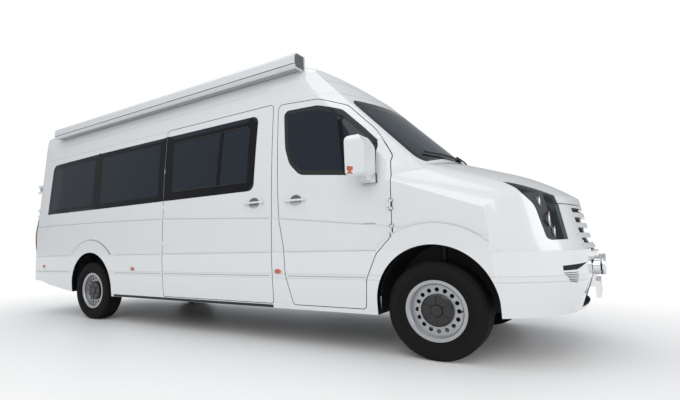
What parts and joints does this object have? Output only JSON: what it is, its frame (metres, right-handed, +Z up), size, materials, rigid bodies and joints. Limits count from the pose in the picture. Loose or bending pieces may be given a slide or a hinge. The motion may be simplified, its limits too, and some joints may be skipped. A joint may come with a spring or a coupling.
{
  "type": "high-roof camper van",
  "caption": "Long high-roofed camper van with side glazing, sliding side door, rear doors, roof-edge awning and fitted load space.",
  "frame": {"origin": "on the floor, below the middle of the overall length and width", "axes": "+X to the front of the van, +Y to its left, +Z up"},
  "size_m": [6.965, 2.424, 2.705],
  "materials": {
    "white_paint": "glossy white paint",
    "awning_white": "white powder-coated aluminium",
    "tinted_glass": "dark tinted glass",
    "clear_glass": "lightly tinted laminated glass",
    "tyre": "black rubber",
    "wheel_silver": "silver painted pressed steel",
    "cast_metal": "cast, dark grey",
    "white_plastic": "white painted plastic",
    "black_plastic": "grained black plastic",
    "chrome_lamp": "chromed lamp housing",
    "lamp_lens": "clear lens over a dark lamp bowl",
    "red_lens": "dark red lens",
    "floor_lining": "grey floor lining",
    "black_steel": "black coated steel",
    "exhaust_steel": "dull steel",
    "seat_fabric": "dark woven cloth",
    "dash_plastic": "grained dark plastic",
    "cabinet_wood": "light wood laminate"
  },
  "bodies": {
    "van": {"awning": "awning_white", "cab_frame": "white_paint", "cab_seats": "seat_fabric", "chassis": "black_steel", "dashboard": "dash_plastic", "engine": "cast_metal", "exhaust": "exhaust_steel", "floor": "floor_lining", "front_bumper": "white_paint", "front_lamps": "chrome_lamp", "front_suspension": "black_steel", "fuel_tank": "black_plastic", "furniture": "cabinet_wood", "grille": "white_plastic", "headlamps": "lamp_lens", "lower_grille": "black_plastic", "rear_axle": "black_steel", "rear_bumper": "white_plastic", "roof": "white_paint", "side_wall_left": "white_paint", "side_wall_right": "white_paint", "side_windows": "tinted_glass", "sliding_door": "white_paint", "steering_wheel": "dash_plastic", "tail_frame": "white_paint", "tail_lamps": "red_lens", "wheel_liners": "black_plastic", "windscreen": "clear_glass", "wings": "white_paint"},
    "front_door_left": {"door_front_left": "white_paint", "door_front_left_glass": "tinted_glass"},
    "front_door_right": {"door_front_right": "white_paint", "door_front_right_glass": "tinted_glass"},
    "rear_door_left": {"door_rear_left": "white_paint", "door_rear_left_glass": "tinted_glass"},
    "rear_door_right": {"door_rear_right": "white_paint", "door_rear_right_glass": "tinted_glass"},
    "bonnet": {"bonnet": "white_paint"},
    "knuckle_left": {"knuckle_left": "cast_metal"},
    "knuckle_right": {"knuckle_right": "cast_metal"},
    "front_wheel_left": {"wheel_front_left": "wheel_silver", "tyre_front_left": "tyre"},
    "front_wheel_right": {"wheel_front_right": "wheel_silver", "tyre_front_right": "tyre"},
    "rear_wheel_left": {"wheel_rear_left": "wheel_silver", "tyre_rear_left": "tyre"},
    "rear_wheel_right": {"wheel_rear_right": "wheel_silver", "tyre_rear_right": "tyre"}
  },
  "joints": [
    {"name": "front_door_left_hinge", "type": "hinge", "parent": "van", "child": "front_door_left", "pos_m": [2.1755, 0.99, 1.05], "axis": [0, 0, -1], "range_deg": [0, 70]},
    {"name": "front_door_right_hinge", "type": "hinge", "parent": "van", "child": "front_door_right", "pos_m": [2.1755, -0.99, 1.05], "axis": [0, 0, 1], "range_deg": [0, 70]},
    {"name": "rear_door_left_hinge", "type": "hinge", "parent": "van", "child": "rear_door_left", "pos_m": [-3.4325, 0.835, 1.44], "axis": [0, 0, -1], "range_deg": [0, 180]},
    {"name": "rear_door_right_hinge", "type": "hinge", "parent": "van", "child": "rear_door_right", "pos_m": [-3.4325, -0.835, 1.44], "axis": [0, 0, 1], "range_deg": [0, 180]},
    {"name": "bonnet_hinge", "type": "hinge", "parent": "van", "child": "bonnet", "pos_m": [2.5755, 0, 1.513], "axis": [0, -1, 0], "range_deg": [0, 55]},
    {"name": "steer_left", "type": "hinge", "parent": "van", "child": "knuckle_left", "pos_m": [2.4675, 0.755, 0.356], "axis": [0, 0, 1], "range_deg": [-35, 35]},
    {"name": "steer_right", "type": "hinge", "parent": "van", "child": "knuckle_right", "pos_m": [2.4675, -0.755, 0.356], "axis": [0, 0, 1], "range_deg": [-35, 35]},
    {"name": "front_wheel_left_spin", "type": "hinge", "parent": "knuckle_left", "child": "front_wheel_left", "pos_m": [2.4675, 0.855, 0.356], "axis": [0, 1, 0], "continuous": true},
    {"name": "front_wheel_right_spin", "type": "hinge", "parent": "knuckle_right", "child": "front_wheel_right", "pos_m": [2.4675, -0.855, 0.356], "axis": [0, 1, 0], "continuous": true},
    {"name": "rear_wheel_left_spin", "type": "hinge", "parent": "van", "child": "rear_wheel_left", "pos_m": [-1.8575, 0.855, 0.356], "axis": [0, 1, 0], "continuous": true},
    {"name": "rear_wheel_right_spin", "type": "hinge", "parent": "van", "child": "rear_wheel_right", "pos_m": [-1.8575, -0.855, 0.356], "axis": [0, 1, 0], "continuous": true}
  ],
  "couplings": [
    {"joint": "steer_right", "follows": "steer_left", "ratio": 1}
  ]
}
